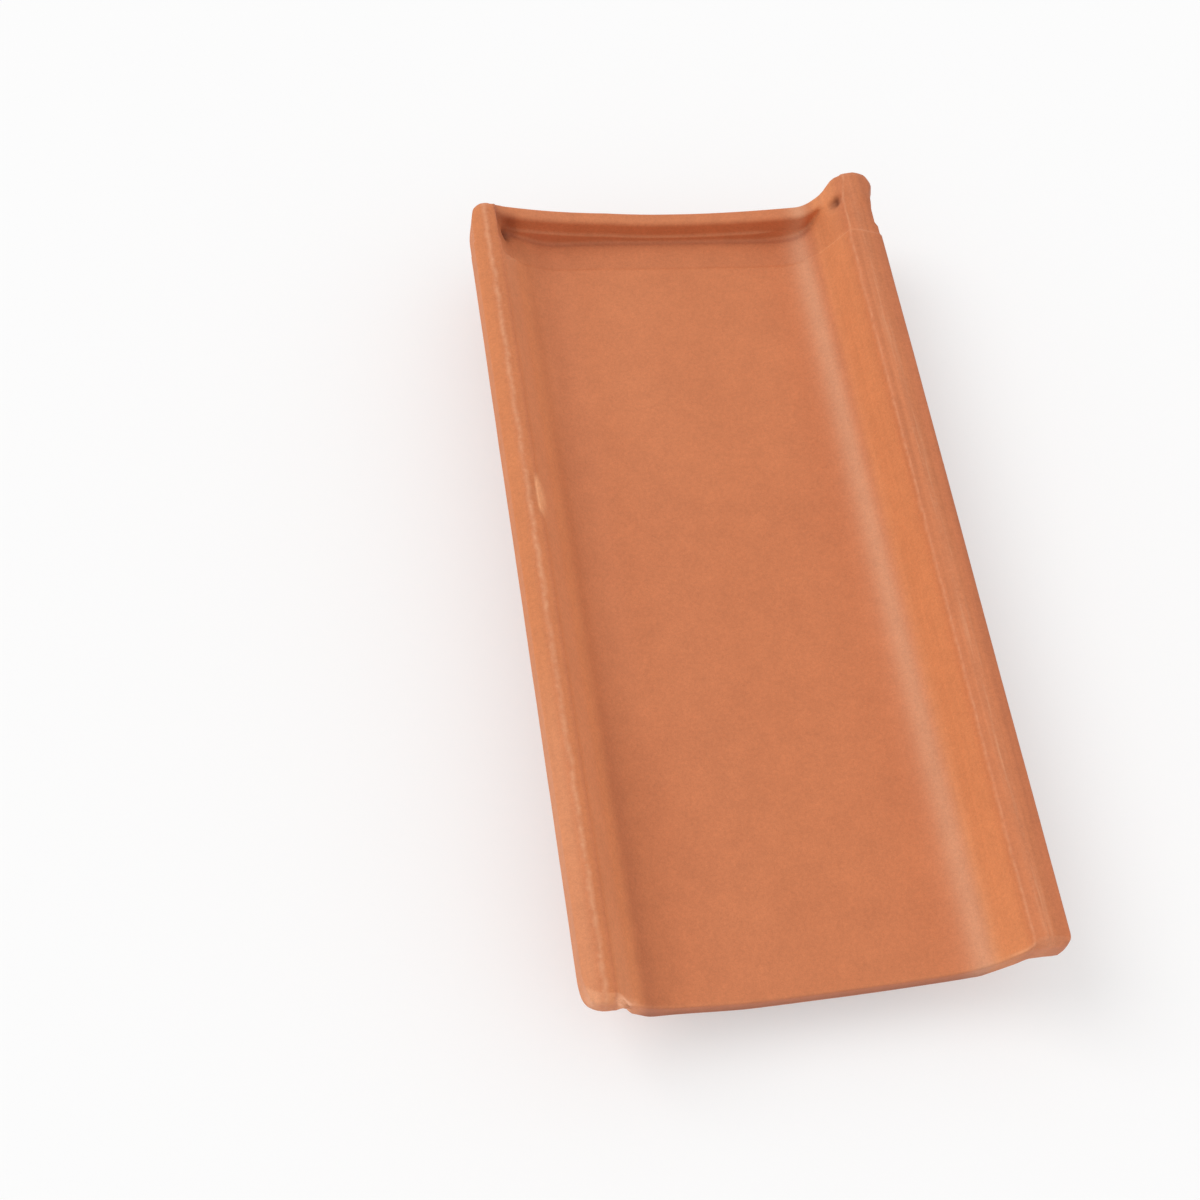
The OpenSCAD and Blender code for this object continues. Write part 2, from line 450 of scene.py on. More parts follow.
def lip_front(x, z):
    """Place along the tile of the lip's front face, which leans back towards its top."""
    top = HALF_L - LIP_WIDTH - LIP_SPREAD * smooth(*LIP_SPREAD_ZONE, x)
    top = top - np.where(x < 0, head_shift(x), HALF_L - head_end(x))
    return top - (lip_top(x) - z) * math.tan(math.radians(LIP_DRAFT))


def plan(x, y):
    """Distance to the tile's outline seen from above, with round corners."""
    foot_end = LEFT_FOOT_SHORT * between(FOOT_SHORT_ZONE, x) - HALF_L
    end = np.where(y > 0, y - head_end(x), foot_end - y)
    left = np.where(y > 0, *LEFT_CORNERS)
    right = np.where(y > 0, *RIGHT_CORNERS)
    clear_of_sides = SIDE_CLEARANCE * smooth(*CORNER_FADE, HALF_L - np.abs(y))
    side = np.abs(x) - HALF_W - CORNER_CLEARANCE
    return round_max(side, end, np.where(x < 0, left, right)) - clear_of_sides


def band_start(x):
    """Where the shallow band begins, counted along the head's cross lines."""
    return HALF_L - BAND_LENGTH + BAND_WALL_SHORT * smooth(*BAND_SHORT_ZONE, x)


def in_band(x, y):
    """1 along the shallow band at the head and 0 elsewhere."""
    along = y + head_shift(x)
    start = band_start(x)
    end = HALF_L - LIP_WIDTH
    past_end = smooth(end - BAND_RAMP / 2, end + 3 * BAND_RAMP, along)
    return smooth(start - BAND_RAMP, start, along) * (1 - past_end)


def left_wall_recess(x, y, z):
    """How far the left wall is set back beside the band, which makes it steeper below its top edge."""
    start = HALF_L - BAND_LENGTH - LEFT_WALL_MORE * smooth(*LEFT_MORE_HEIGHTS, z)
    along = smooth(start - 2 * BAND_RAMP, start, y)
    return LEFT_WALL_RECESS * along * between(LEFT_WALL_ZONE, x) * between(LEFT_WALL_HEIGHTS, z)


def feet(x, y, z):
    """Distance to the four feet."""
    u = np.abs(np.abs(x) - FOOT_X)
    v = np.abs(np.abs(y) - FOOT_Y)
    sides = []
    for across, base, tip in zip((u, v), FOOT_BASE, FOOT_TIP):
        slope = (base - tip) / 2 / FOOT_ROOT_Z
        sides.append((across - tip / 2 - slope * z) / math.hypot(1, slope))
    block = round_max(*sides, FOOT_ROUND)
    block = round_max(block, -z, FOOT_ROUND)
    return np.maximum(block, z - FOOT_TOP_Z)


def press_shift(x, y):
    """Sideways shift of the upper face: none at the outer sides, and outwards at the right head end."""
    shift = PRESS_SHIFT * (1 - smooth(*PRESS_FADE, np.abs(x)))
    knob = HALF_L - LIP_WIDTH - head_shift(x)
    return shift * (1 - KNOB_FLARE * smooth(*KNOB_RAMP, y - knob) * smooth(*KNOB_ZONE, x))


def side_shift(x):
    """Inward shift of the left outer side."""
    return LEFT_SIDE_SHIFT * smooth(*LEFT_SIDE_ZONE, x)


def ends_cut(x, y, z, clay):
    """Distance to the tile with its ends: rounded at the head, and chamfered on the ledges at the foot."""
    upper = smooth(*PARTING_BLEND, z - PARTING_Z)
    ledge = smooth(*LEDGE_ZONE, np.abs(x))
    undercut = LEDGE_UNDERCUT * np.clip(PARTING_Z - z, 0, PARTING_HEIGHT) * smooth(*UNDERCUT_ZONE, x)
    lean = LEFT_END_LEAN * np.maximum(z - lip_top(x) - LEAN_START, 0)
    lean = lean * smooth(*LEAN_ZONE, x) * (1 - LEAN_LOSS * smooth(*LEAN_LOSS_ZONE, x))
    end = plan(x, y) + np.where(y > 0, lean, undercut)
    round_share = np.where(x < 0, smooth(*LEFT_ROUND_ZONE, x), ledge * upper)
    turn = HEAD_PAN_ROUND + (HEAD_LEDGE_ROUND - HEAD_PAN_ROUND) * round_share
    right_share = 1 - RIGHT_CHAMFER_LOSS * smooth(*RIGHT_CHAMFER_FADE, x)
    chamfer = PAN_CHAMFER + (LEDGE_CHAMFER - PAN_CHAMFER) * ledge * np.where(x < 0, upper, right_share)
    foot_end = soft_max(clay, end, EDGE_SOFTNESS)
    foot_end = soft_max(foot_end, (clay + end + chamfer) * math.sqrt(0.5), EDGE_SOFTNESS)
    return np.where(y > 0, round_max(clay, end, turn), foot_end)


def with_lip(upper_face, x, y, z):
    """Distance to the upper face with the lip and its shelf raised on it."""
    front = lip_front(x, z) - y
    past_wall = LEFT_LIP_END - x
    lip = round_max(z - lip_top(x), front, LIP_ROUND)
    shelf = round_max(z - lip_top(x) + SHELF_DROP, front - SHELF_REACH, SHELF_REACH / 2)
    shelf = shelf + SHELF_SINK * smooth(*SHELF_SINK_ZONE, x)
    fillet = LIP_FILLET + RIGHT_LIP_FILLET * smooth(*RIGHT_FILLET_ZONE, x)
    fillet = fillet + LEFT_LIP_FILLET * smooth(*LEFT_FILLET_ZONE, x)
    stepped = soft_min(upper_face, np.maximum(shelf, past_wall), SHELF_FILLET)
    return soft_min(stepped, np.maximum(lip, past_wall), fillet)


def tile_distance(points):
    """Signed distance of points to the surface of the tile."""
    x, y, z = points.T
    side = smooth(*BAND_SIDE_ZONE, x) * smooth(*PARTING_BLEND, z - PARTING_Z)
    wall = smooth(*BAND_WALL_ZONE, x) * (1 - side)
    recess = (BAND_RECESS + (BAND_WALL_RECESS - BAND_RECESS) * wall) * in_band(x, y)
    recess += (BAND_SIDE_RECESS - BAND_RECESS) * side * in_band(x, y - BAND_SIDE_MORE * side)
    recess += left_wall_recess(x, y, z)
    across = x - press_shift(x, y) - side_shift(x)
    upper_face = np.where(x < 0, left_field(across, z), right_field(across, z))
    raised = with_lip(upper_face + recess, x, y, z)
    clay = np.maximum(raised, under_field(x - side_shift(x), z))
    return soft_min(ends_cut(x, y, z, clay), feet(x, y, z), FOOT_FILLET)


def slope_at(points, reach):
    """How fast the distance to the tile grows along each axis at points."""
    steps = np.eye(3) * reach
    grown = [tile_distance(points + step) - tile_distance(points - step) for step in steps]
    return np.stack(grown, axis=1) / (2 * reach)


def surface_normals(points):
    """Outward directions at points on the tile."""
    slope = slope_at(points, 0.2)
    return slope / np.linalg.norm(slope, axis=1, keepdims=True)


def settle(points, rounds=6):
    """Moves points onto the surface of the tile along its slope."""
    longest = 1.5
    flattest = 0.2
    for _ in range(rounds):
        slope = slope_at(points, 0.05)
        move = tile_distance(points) / np.maximum(np.einsum("ij,ij->i", slope, slope), flattest)
        points = points - slope * np.clip(move, -longest, longest)[:, None]
    return points


def even_out(points, faces, where):
    """Spreads the chosen points evenly over the surface, so that rows of the mesh don't cross."""
    pairs = np.array([(a, b) for face in faces for a, b in zip(face, face[1:] + face[:1])])
    pairs = np.concatenate([pairs, pairs[:, ::-1]])
    pairs = pairs[where[pairs[:, 0]]]
    count = np.bincount(pairs[:, 0], minlength=len(points))[where]
    for _ in range(EVEN_ROUNDS):
        sums = [np.bincount(pairs[:, 0], points[pairs[:, 1], i], len(points))[where] for i in range(3)]
        middle = np.stack(sums, axis=1) / count[:, None]
        points = points.copy()
        points[where] = settle((points[where] + middle) / 2, 2)
    return points


def columns(line, count, extra=None):
    """Places count points along a line, closer together where it turns or where extra says so."""
    coarse = 3.0
    turn = 8.0
    run = np.diff(line, axis=0)
    length = np.linalg.norm(run, axis=1)
    heading = np.degrees(np.unwrap(np.arctan2(run[:, 1], run[:, 0])))
    bend = np.abs(np.gradient(heading))
    weight = length / coarse + bend / turn
    if extra is not None:
        weight = weight * extra((line[1:] + line[:-1]) / 2)
    at = np.concatenate([[0], np.cumsum(weight)])
    want = np.linspace(0, at[-1], count)
    return np.stack([np.interp(want, at, line[:, i]) for i in (0, 1)], axis=1)


def near_feet(places):
    """Weight of places along the underside, three times as great about the feet as elsewhere."""
    margin = 3
    return 1 + 2 * (np.abs(places[:, 0] - FOOT_X) < FOOT_BASE[0] / 2 + margin)


def stations():
    """Places of the mesh's cross rows along the tile, closer together where the shape changes."""
    foot_edge = 7 - HALF_L
    foot_start = HALF_L - FOOT_END_GAP - FOOT_BASE[1]
    before_band = HALF_L - BAND_LENGTH - 3
    after_band = HALF_L - BAND_LENGTH + 2
    lip_start = HALF_L - LIP_REACH
    starts = [-HALF_L, foot_edge, -foot_start, foot_start, before_band, after_band, lip_start]
    spacing = [0.5, 1.6, 2.0, 1.6, 0.4, 1.1, LIP_REACH / LIP_ROWS]
    places = []
    for a, b, step in zip(starts, starts[1:] + [HALF_L], spacing):
        places.append(np.linspace(a, b, math.ceil((b - a) / step), endpoint=False))
    return np.concatenate(places + [[HALF_L]])


def row_place(x, at):
    """Place along the tile of a cross row at x: rows near the head follow its cross lines."""
    follow = at - head_shift(x) * smooth(*FOLLOW_ZONE, at)
    last = smooth(HALF_L - LIP_REACH, HALF_L, at)
    return follow + (head_end(x) - (HALF_L - head_shift(x))) * last


def over_lip(x, z, at):
    """Places along the tile and heights of a row of top points on its way over the lip to the head end."""
    start = HALF_L - LIP_REACH
    y0 = row_place(x, start)
    y1 = np.maximum(lip_front(x, z) - SHELF_REACH, y0)
    climb = np.where(np.abs(x) < CLIMB_LIMIT, np.maximum(lip_top(x) - z, 0), 0)
    y2 = head_end(x)
    way = (at - start) / LIP_REACH * (y1 - y0 + climb + y2 - y1)
    up = np.clip(way - (y1 - y0), 0, climb)
    lean = up * math.tan(math.radians(LIP_DRAFT))
    flat = np.minimum(way, y1 - y0) + np.maximum(way - (y1 - y0) - climb, 0)
    return np.minimum(y0 + flat + lean, y2), z + up


def over_feet(x, y, z):
    """Heights of underside points, lowered where a foot stands."""
    u = np.abs(np.abs(x) - FOOT_X) - FOOT_TIP[0] / 2
    v = np.abs(np.abs(y) - FOOT_Y) - FOOT_TIP[1] / 2
    rise_u = u * 2 * FOOT_ROOT_Z / (FOOT_BASE[0] - FOOT_TIP[0])
    rise_v = v * 2 * FOOT_ROOT_Z / (FOOT_BASE[1] - FOOT_TIP[1])
    sole = np.maximum(np.maximum(rise_u, rise_v), 0)
    return np.where(np.abs(x) < LEDGE_START - 2, np.minimum(z, sole), z)


def ring_at(at, across_top, across_under):
    """Points of one ring about the tile: over the top from right to left, and back beneath."""
    top_x, top_z = across_top.T
    top_x = top_x + press_shift(top_x, row_place(top_x, at))
    top_y = row_place(top_x, at)
    if at > HALF_L - LIP_REACH:
        top_y, top_z = over_lip(top_x, top_z, at)
    under_x, under_z = across_under.T
    under_y = row_place(under_x, at)
    under_z = over_feet(under_x, under_y, under_z)
    top = np.stack([top_x, top_y, top_z], axis=1)
    under = np.stack([under_x, under_y, under_z], axis=1)
    return np.concatenate([top, under[-2:0:-1]])


def close_end(points, faces, start, ring, width):
    """Closes one end by rungs from the top points of its ring to the underside points below them."""
    spacing = (1 - np.cos(np.linspace(0, math.pi, END_ROWS + 1))) / 2
    rungs = [[start] * (END_ROWS + 1)]
    for j in range(1, width - 1):
        a, b = start + j, start + ring - j
        rung = [a]
        for t in spacing[1:-1]:
            points.append(points[a] * (1 - t) + points[b] * t)
            rung.append(len(points) - 1)
        rungs.append(rung + [b])
    rungs.append([start + width - 1] * (END_ROWS + 1))
    for left, right in zip(rungs, rungs[1:]):
        for r in range(END_ROWS):
            quad = [left[r], right[r], right[r + 1], left[r + 1]]
            faces.append(tuple(dict.fromkeys(quad)))


def tile_mesh(left_half, right_half, under_half):
    """Points and faces of the tile: rings along it, closed at each end."""
    flip = np.array([-1, 1])
    left_top = columns(left_half, HALF_COLUMNS) * flip
    right_top = columns(right_half, HALF_COLUMNS)
    half_under = columns(under_half, HALF_COLUMNS, near_feet)
    across_top = np.concatenate([right_top[::-1], left_top[1:]])
    across_under = np.concatenate([half_under[::-1], half_under[1:] * flip])
    rings = [ring_at(at, across_top, across_under) for at in stations()]
    ring = len(rings[0])
    points = list(np.concatenate(rings))
    faces = []
    for i in range(len(rings) - 1):
        for j in range(ring):
            k = (j + 1) % ring
            faces.append((i * ring + j, i * ring + k, (i + 1) * ring + k, (i + 1) * ring + j))
    for end in (0, len(rings) - 1):
        close_end(points, faces, end * ring, ring, len(across_top))
    return np.array(points), faces


def new_mesh(name, points, faces):
    """Smooth-shaded mesh whose faces look outwards."""
    mesh = bpy.data.meshes.new(name)
    mesh.from_pydata(points.tolist(), [], faces)
    built = bmesh.new()
    built.from_mesh(mesh)
    bmesh.ops.recalc_face_normals(built, faces=built.faces)
    built.to_mesh(mesh)
    built.free()
    mesh.polygons.foreach_set("use_smooth", np.ones(len(mesh.polygons), bool))
    return mesh


def add_field(mesh, name, values):
    """Stores one number per point, for the material to read."""
    layer = mesh.attributes.new(name, "FLOAT", "POINT")
    layer.data.foreach_set("value", values.astype(np.float32))


def add_colours(mesh, name, colours):
    """Stores one colour per point, for the material to read."""
    layer = mesh.attributes.new(name, "FLOAT_COLOR", "POINT")
    solid = np.ones((len(colours), 1))
    layer.data.foreach_set("color", np.concatenate([colours, solid], axis=1).astype(np.float32).ravel())


def strip_at_foot(x, y, foot_facing):
    """1 on a strip between the left ledge's foot end and the pan, where a bevel that the shape lacks is
    painted lighter as a painted highlight.
    """
    from_foot = y + HALF_L
    share = np.clip((x - STRIP_START) / STRIP_WIDTH, 0, 1)
    top = STRIP_TOPS[0] + (STRIP_TOPS[1] - STRIP_TOPS[0]) * share
    low = STRIP_LOWS[0] + (STRIP_LOWS[1] - STRIP_LOWS[0]) * smooth(*STRIP_LOW_ZONE, x)
    below_top = smooth(top + STRIP_EDGE, top - STRIP_EDGE, from_foot)
    above_low = smooth(low - STRIP_EDGE, low + STRIP_EDGE, from_foot)
    return below_top * above_low * between(STRIP_ZONE, x) * (foot_facing < 0.8)


def tones_and_light_along(x, y):
    """Stretches that run along the tile, each with its factors of red, green and blue; most are painted light
    and shade.
    """
    foot_part = smooth(*FOOT_PART, y)
    head_part = smooth(*HEAD_PART, y)
    sheen_x = SHEEN_X - SHEEN_DRIFT * y / HALF_L
    sheen = bump(x, sheen_x, np.where(x < sheen_x, *SHEEN_WIDTHS))
    left_outer = smooth(*LEFT_LEDGE_OUTER, x)
    left_blend = bump(x, LEFT_BLEND, 4.0)
    return [
        # painted light: the right wall lighter, as the light falls on it
        (between(RIGHT_WALL, x), (1.16, 1.29, 1.26)),
        # painted sheen on the right blend
        (sheen, (1.11, 1.50, 2.00)),
        (between(LEFT_LEDGE_INNER, x), (1.03, 1.04, 0.98)),
        # painted shade: a dark line along the left ledge's inner edge
        (bump(x, LEFT_LEDGE_EDGE, 0.9), (0.94, 0.91, 0.91)),
        # painted light: the left ledge's outer facet lighter, most at the foot
        (left_outer * (1 - foot_part), (1.08, 1.11, 0.99)),
        (left_outer * foot_part, (1.12, 1.29, 1.42)),
        (between(LEFT_PAN, x) * (1 - foot_part), (1.05, 1.08, 1.13)),
        (between(MIDDLE_PAN, x) * head_part, (1.02, 1.04, 1.05)),
        # painted shade in the left blend at the foot, and painted light lifting it at the head
        (left_blend * foot_part, (0.93, 0.93, 0.97)),
        (left_blend * head_part, (1.06, 1.10, 1.12)),
        # right crest lighter, partly rubbed and partly a painted highlight
        (bump(x, RIGHT_CREST, 2.0), (1.03, 1.07, 1.14)),
        # painted shade: the right ledge's outer facet darker
        (smooth(*RIGHT_LEDGE_OUTER, x), (0.92, 0.88, 0.90)),
        (bump(x, LEFT_OF_MIDDLE, 26), (1.03, 1.05, 1.08)),
    ]


def tones_and_light_at_head(x, y, z, normals):
    """Band, shelf and lip, and the left wall up to them, each with its factors of red, green and blue; most
    are painted light and shade.
    """
    from_lip = y - lip_front(x, z)
    in_trough = between(TROUGH, x)
    clear_of_lip = 1 - 0.8 * smooth(*LIP_CLEARANCE, from_lip)
    over_shelf = z - lip_top(x) + SHELF_DROP
    on_shelf = smooth(-1.2, -0.4, over_shelf)
    shelf_line = bump(from_lip, -0.7, 0.6) * smooth(1.5, 0.7, over_shelf)
    lip_face = smooth(-1.2, -0.3, from_lip) * smooth(0.5, 0.9, -normals[:, 1])
    step_line = bump(y + head_shift(x), band_start(x) - 1, 0.8)
    return [
        # painted light: the left wall lighter, as the light falls on it
        (between(LEFT_WALL, x) * clear_of_lip, (1.27, 1.44, 1.53)),
        (between(LEFT_WALL_TOP, x) * clear_of_lip, (1.00, 1.06, 1.16)),
        (in_band(x, y) * in_trough * (from_lip < -4), (0.95, 0.94, 0.95)),
        # painted highlight on the band's step
        (step_line * between(STEP_ZONE, x), (1.10, 1.20, 1.30)),
        # painted shade below the shelf, and on the shelf's and the lip's front faces
        (bump(from_lip, -2.4, 1.4) * in_trough * (1 - on_shelf), (0.78, 0.74, 0.78)),
        (shelf_line * in_trough * on_shelf, (0.93, 0.95, 0.98)),
        (lip_face * in_trough * on_shelf, (0.93, 0.90, 0.88)),
        # painted shade in the left wall's corner at the lip
        (bump(from_lip, -0.5, 3.5) * between(LEFT_LIP, x), (0.70, 0.60, 0.56)),
    ]


def tones_and_light_at_foot(x, y, z, normals):
    """End faces and bevels at the foot, each with its factors of red, green and blue: painted shade on the
    pan's end face, and painted highlights on its edge and on the bevels.
    """
    facing = -normals[:, 1] * (y < 0)
    in_pan = np.abs(x) < PAN_EDGE
    pan_end = smooth(0.80, 0.97, facing) * in_pan
    low_down = smooth(UNDER_Z + 14, UNDER_Z, z - x * x / (2 * DISH_RADIUS))
    ledge_end = smooth(0.12, 0.4, facing) * smooth(0.97, 0.8, facing)
    ledge_end = ledge_end * (np.abs(x) > LEDGE_EDGE) * (z > LEDGE_END_Z)
    return [
        # painted shade on the pan's end face, darkest low down
        (pan_end * low_down, (0.66, 0.58, 0.56)),
        (pan_end, (0.90, 0.86, 0.86)),
        # painted highlight along the pan's end edge
        (bump(facing, 0.5, 0.2) * in_pan, (1.06, 1.10, 1.14)),
        # painted highlights on the ledge chamfers and on the strip beside the left one
        (ledge_end * (x > 0), (1.08, 1.18, 1.32)),
        (ledge_end * (x < 0), (1.16, 1.34, 1.55)),
        (strip_at_foot(x, y, facing), (1.07, 1.14, 1.22)),
    ]


class Clay:
    """Builds the fired clay: two mixed clays, clouds, grain, streaks along the tile, and pale edges that are
    partly rubbed and partly painted highlights.
    """

    def __init__(self, name):
        self.material = bpy.data.materials.new(name)
        self.material.use_nodes = True
        self.nodes = self.material.node_tree.nodes
        self.shader = self.nodes["Principled BSDF"]
        self.place = self.nodes.new("ShaderNodeTexCoord").outputs["Object"]

    def link(self, source, target):
        self.material.node_tree.links.new(source, target)

    def field(self, name, colour=False):
        """A number or colour stored with the points of the mesh."""
        node = self.nodes.new("ShaderNodeAttribute")
        node.attribute_name = name
        return node.outputs["Color" if colour else "Fac"]

    def noise(self, scale, detail=2.0, stretch=None):
        """Noise with the given lumps per metre; stretch gives them for each axis, times scale."""
        node = self.nodes.new("ShaderNodeTexNoise")
        node.inputs["Scale"].default_value = scale
        node.inputs["Detail"].default_value = detail
        source = self.place
        if stretch:
            mapping = self.nodes.new("ShaderNodeMapping")
            mapping.inputs["Scale"].default_value = stretch
            self.link(source, mapping.inputs["Vector"])
            source = mapping.outputs["Vector"]
        self.link(source, node.inputs["Vector"])
        return node.outputs["Fac"]

    def spread(self, value, low, high, to_low, to_high):
        """Maps low to to_low and high to to_high, and keeps what lies beyond at those two."""
        node = self.nodes.new("ShaderNodeMapRange")
        for name, number in (("From Min", low), ("From Max", high), ("To Min", to_low), ("To Max", to_high)):
            node.inputs[name].default_value = number
        self.link(value, node.inputs["Value"])
        return node.outputs["Result"]

    def axis(self, name):
        """Place along one axis of the tile, in metres."""
        node = self.nodes.new("ShaderNodeSeparateXYZ")
        self.link(self.place, node.inputs["Vector"])
        return node.outputs[name]

    def line(self, value, middle, width):
        """1 where value is at middle, falling to 0 at width either side; both in millimetres."""
        rise = self.spread(value, (middle - width) * MM, middle * MM, 0, 1)
        fall = self.spread(value, middle * MM, (middle + width) * MM, 1, 0)
        return self.join("MULTIPLY", rise, fall)

    def join(self, kind, *values):
        """Adds or multiplies values."""
        total = values[0]
        for value in values[1:]:
            node = self.nodes.new("ShaderNodeMath")
            node.operation = kind
            self.link(total, node.inputs[0])
            self.link(value, node.inputs[1])
            total = node.outputs[0]
        return total

    def mix(self, amount, first, second):
        """Mixes two colours, which are plain or come from other nodes."""
        node = self.nodes.new("ShaderNodeMix")
        node.data_type = "RGBA"
        self.link(amount, node.inputs["Factor"])
        for source, target in ((first, node.inputs["A"]), (second, node.inputs["B"])):
            if isinstance(source, tuple):
                target.default_value = (*source, 1)
            else:
                self.link(source, target)
        return node.outputs["Result"]

    def times(self, kind, colour, factor):
        """Multiplies a colour by another one, or by a number where kind is SCALE."""
        node = self.nodes.new("ShaderNodeVectorMath")
        node.operation = kind
        self.link(colour, node.inputs[0])
        self.link(factor, node.inputs["Scale" if kind == "SCALE" else 1])
        return node.outputs["Vector"]

    def body(self, grain, fine):
        """Colour of the clay, with the painted light and shade in its tone, without its rubbed and
        highlighted edges.
        """
        clouds = self.noise(26, 3)
        colour = self.mix(self.spread(clouds, 0.3, 0.7, 0, 1), DARK_CLAY, PALE_CLAY)
        streaks = self.noise(1, 4, (420, 8, 420))
        streak = self.join("MULTIPLY", self.spread(streaks, 0.3, 0.7, -1, 1), self.field("streaky"))
        shade = self.join(
            "MULTIPLY",
            self.spread(self.noise(120, 3), 0.25, 0.75, 0.955, 1.045),
            self.spread(grain, 0.25, 0.75, 0.93, 1.07),
            self.spread(fine, 0.25, 0.75, 0.92, 1.08),
            self.spread(streak, -1, 1, 0.89, 1.11)
        )
        return self.times("SCALE", self.times("MULTIPLY", colour, self.field("tone_and_light", True)), shade)

    def sway(self, wander, reach):
        """Place across the tile, swayed by up to reach millimetres either way."""
        return self.join("ADD", self.axis("X"), self.spread(wander, 0.2, 0.8, -reach * MM, reach * MM))

    def shift_along(self, start, end, first, last):
        """Value that goes from first to last between two places along the tile, in millimetres."""
        return self.spread(self.axis("Y"), start * MM, end * MM, first, last)

    def wear_and_highlight_lines(self):
        """How far the edges turn pale: three lines along the tile, partly rubbed wear and partly painted
        highlights, and speckles on the crests.
        """
        wander = self.noise(1, 4, (6, 130, 6))
        drift = self.shift_along(-HALF_L, HALF_L, *(shift * MM for shift in LEFT_LINE_DRIFT))
        left = self.join("ADD", self.sway(wander, LEFT_LINE_WANDER), drift)
        right = self.sway(wander, RIGHT_LINE_WANDER)
        turns = [self.shift_along(start, end, 0, shift * MM) for start, end, shift in INNER_LINE_TURNS]
        inner = self.join("ADD", right, *turns)
        patchy = self.spread(self.noise(220, 3), 0.35, 0.65, 0.18, 0.60)
        faint = self.spread(self.noise(300, 3), 0.35, 0.65, 0.10, 0.42)
        dashes = self.spread(self.noise(1, 4, (620, 24, 620)), 0.50, 0.70, 0, 0.45)
        speckles = self.spread(self.noise(560, 3), 0.54, 0.72, 0, 0.30)
        short_of_head = self.shift_along(*DASH_END, 1, 0)
        return self.join(
            "ADD",
            # the left crest line and the right dashes are partly rubbed wear and partly painted highlights;
            # the inner line is a painted highlight
            self.join("MULTIPLY", self.line(left, LEFT_CREST, LEFT_LINE_WIDTH), patchy),
            self.join("MULTIPLY", self.line(inner, RIGHT_INNER, INNER_LINE_WIDTH), faint),
            self.join("MULTIPLY", self.line(right, RIGHT_CREST, DASH_WIDTH), dashes, short_of_head),
            self.join("MULTIPLY", speckles, self.field("wear_and_highlight"))
        )

    def finish(self):
        """Joins the colours and the grain into the shader."""
        grain = self.noise(620, 3)
        fine = self.noise(1900, 2)
        wear_and_highlight = self.join("MULTIPLY", self.wear_and_highlight_lines(), self.field("upper"))
        self.link(self.mix(wear_and_highlight, self.body(grain, fine), WORN_AND_LIT_CLAY), self.shader.inputs["Base Color"])
        self.shader.inputs["Roughness"].default_value = 0.62
        self.shader.inputs["Specular IOR Level"].default_value = 0.35
        rough = self.nodes.new("ShaderNodeBump")
        rough.inputs["Strength"].default_value = 0.35
        rough.inputs["Distance"].default_value = 0.4 * MM
        self.link(self.join("ADD", grain, fine), rough.inputs["Height"])
        self.link(rough.outputs["Normal"], self.shader.inputs["Normal"])
        return self.material


def add_object(name, data):
    piece = bpy.data.objects.new(name, data)
    bpy.context.scene.collection.objects.link(piece)
    return piece


def pale_floor():
    """Matt floor that shows shadows, and that the camera sees with a share of plain white in it."""
    material = bpy.data.materials.new("pale_floor")
    material.use_nodes = True
    nodes = material.node_tree.nodes
    links = material.node_tree.links
    matt = nodes["Principled BSDF"]
    matt.inputs["Base Color"].default_value = (FLOOR_GREY, FLOOR_GREY, FLOOR_GREY, 1)
    matt.inputs["Roughness"].default_value = 1.0
    matt.inputs["Specular IOR Level"].default_value = 0.0
    glow = nodes.new("ShaderNodeEmission")
    glow.inputs["Color"].default_value = (1, 1, 1, 1)
    glow.inputs["Strength"].default_value = 1.0
    seen = nodes.new("ShaderNodeLightPath")
    rays = seen.outputs["Is Camera Ray"]
    for other in ("Is Glossy Ray", "Is Transmission Ray"):
        either = nodes.new("ShaderNodeMath")
        either.operation = "MAXIMUM"
        links.new(rays, either.inputs[0])
        links.new(seen.outputs[other], either.inputs[1])
        rays = either.outputs[0]
    lift = nodes.new("ShaderNodeMapRange")
    lift.inputs["To Max"].default_value = FLOOR_LIFT
    links.new(rays, lift.inputs["Value"])
    blend = nodes.new("ShaderNodeMixShader")
    links.new(lift.outputs["Result"], blend.inputs["Fac"])
    links.new(matt.outputs["BSDF"], blend.inputs[1])
    links.new(glow.outputs["Emission"], blend.inputs[2])
    links.new(blend.outputs["Shader"], nodes["Material Output"].inputs["Surface"])
    return material


def add_floor():
    mesh = bpy.data.meshes.new("floor")
    corners = [(i * FLOOR_REACH, j * FLOOR_REACH, 0) for i, j in ((-1, -1), (1, -1), (1, 1), (-1, 1))]
    mesh.from_pydata(corners, [], [(0, 1, 2, 3)])
    mesh.materials.append(pale_floor())
    return add_object("floor", mesh)


def add_light():
    """A broad sun and an even white world."""
    sun = bpy.data.lights.new("key", "SUN")
    sun.energy = SUN_STRENGTH
    sun.angle = math.radians(SUN_ANGLE)
    add_object("key", sun).rotation_euler = Vector(SUN_FROM).to_track_quat("Z", "Y").to_euler()
    world = bpy.data.worlds.new("studio")
    bpy.context.scene.world = world
    world.use_nodes = True
    background = world.node_tree.nodes["Background"]
    background.inputs["Color"].default_value = (1, 1, 1, 1)
    background.inputs["Strength"].default_value = WORLD_STRENGTH


def add_camera():
    """Camera of the photograph, turned and shifted against the middle of the pan."""
    data = bpy.data.cameras.new("camera")
    data.sensor_width = SENSOR_WIDTH
    data.lens = CAMERA_FOCAL / IMAGE_SIZE * SENSOR_WIDTH
    camera = add_object("camera", data)
    image_axes = Matrix(((1, 0, 0), (0, -1, 0), (0, 0, -1)))
    turn = Vector(CAMERA_TURN)
    to_camera = Matrix.Rotation(turn.length, 3, turn) @ image_axes
    place = Vector((0, 0, PAN_Z)) - to_camera.transposed() @ Vector(CAMERA_SHIFT)
    axes = to_camera.transposed() @ image_axes
    camera.matrix_world = Matrix.Translation(place * MM) @ axes.to_4x4()
    bpy.context.scene.camera = camera


